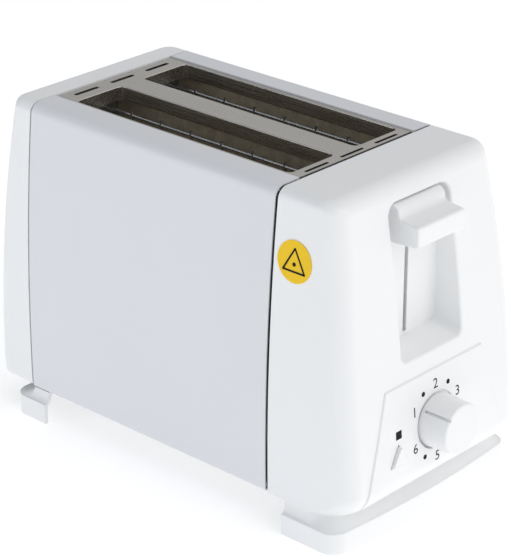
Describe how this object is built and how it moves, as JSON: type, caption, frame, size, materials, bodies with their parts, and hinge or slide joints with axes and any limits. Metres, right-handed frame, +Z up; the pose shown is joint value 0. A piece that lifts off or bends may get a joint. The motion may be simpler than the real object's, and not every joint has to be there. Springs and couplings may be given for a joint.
{
  "type": "pop up toaster",
  "caption": "Two-slot pop up toaster: folded steel body between moulded white end caps, with a push-down lever, browning dial, stop button and crumb tray.",
  "frame": {"origin": "bottom centre of the whole toaster, on the surface it stands on", "axes": "+Z up, the control end with the lever and dial faces -Y, +X to the right seen from that end, so the bread slots run along Y"},
  "size_m": [0.1224, 0.2358, 0.157],
  "materials": {
    "white_moulding": "smooth glossy moulded plastic",
    "white_controls": "smooth glossy moulded plastic",
    "white_paint": "satin baked paint",
    "top_steel": "brushed stainless sheet",
    "plated_steel": "plated sheet steel",
    "wire_steel": "bright wire and rod",
    "spring_steel": "drawn spring wire",
    "mica_sheet": "pressed mica sheet",
    "heater_alloy": "oxidised resistance ribbon",
    "magnet_iron": "laminated iron",
    "coil_copper": "varnished copper winding",
    "contact_brass": "plain brass strip",
    "black_moulding": "matte black moulded plastic",
    "board_laminate": "phenolic board",
    "chip_black": "moulded epoxy",
    "resistor_body": "lacquered ceramic",
    "screw_steel": "zinc plated",
    "sticker_yellow": "printed film",
    "tray_metal": "plain sheet"
  },
  "bodies": {
    "housing": {"front_cap": "white_moulding", "rear_cap": "white_moulding", "left_rear_foot": "white_moulding", "right_rear_foot": "white_moulding", "left_side_panel": "white_paint", "right_side_panel": "white_paint", "top_plate": "top_steel", "front_end_plate": "plated_steel", "rear_end_plate": "plated_steel", "base_plate": "plated_steel", "left_reflector": "plated_steel", "right_reflector": "plated_steel", "left_tray_rail": "plated_steel", "right_tray_rail": "plated_steel", "lower_rod_bracket": "plated_steel", "upper_rod_bracket": "plated_steel", "left_guide_rod": "wire_steel", "right_guide_rod": "wire_steel", "left_inner_guard": "wire_steel", "right_inner_guard": "wire_steel", "left_outer_guard": "wire_steel", "right_outer_guard": "wire_steel", "lift_spring": "spring_steel", "left_heater_board": "mica_sheet", "centre_heater_board": "mica_sheet", "right_heater_board": "mica_sheet", "left_heater_ribbon": "heater_alloy", "centre_heater_ribbon": "heater_alloy", "right_heater_ribbon": "heater_alloy", "magnet_core": "magnet_iron", "magnet_coil": "coil_copper", "contact_block": "black_moulding", "timer_potentiometer": "black_moulding", "stop_switch": "black_moulding", "terminal_block": "black_moulding", "cord_gland": "black_moulding", "control_board": "board_laminate", "control_chip": "chip_black", "board_capacitor": "chip_black", "board_resistors": "resistor_body", "board_screws": "screw_steel", "base_screws": "screw_steel", "caution_sticker": "sticker_yellow"},
    "carriage": {"carriage_plate": "plated_steel", "lever_arm": "plated_steel", "lever_knob": "white_controls", "left_bread_rack": "plated_steel", "right_bread_rack": "plated_steel", "armature_plate": "magnet_iron", "contact_bar": "contact_brass", "left_rod_bush": "black_moulding", "right_rod_bush": "black_moulding"},
    "dial": {"browning_knob": "white_controls", "dial_shaft": "black_moulding"},
    "stop_key": {"stop_button": "white_controls"},
    "tray": {"crumb_tray": "tray_metal", "tray_handle": "white_moulding"}
  },
  "joints": [
    {"name": "lever_slide", "type": "slide", "parent": "housing", "child": "carriage", "axis": [0, 0, -1], "range_m": [0, 0.046], "stiffness_N_per_m": 60, "springref_m": -0.15, "deforming": ["lift_spring"]},
    {"name": "dial_turn", "type": "hinge", "parent": "housing", "child": "dial", "pos_m": [0, -0.11, 0.0456], "axis": [0, -1, 0], "range_deg": [-291, 9]},
    {"name": "stop_press", "type": "slide", "parent": "housing", "child": "stop_key", "axis": [0, 1, 0], "range_m": [0, 0.0015], "stiffness_N_per_m": 300, "springref_m": -0.003},
    {"name": "tray_slide", "type": "slide", "parent": "housing", "child": "tray", "axis": [0, 1, 0], "range_m": [0, 0.12]}
  ]
}
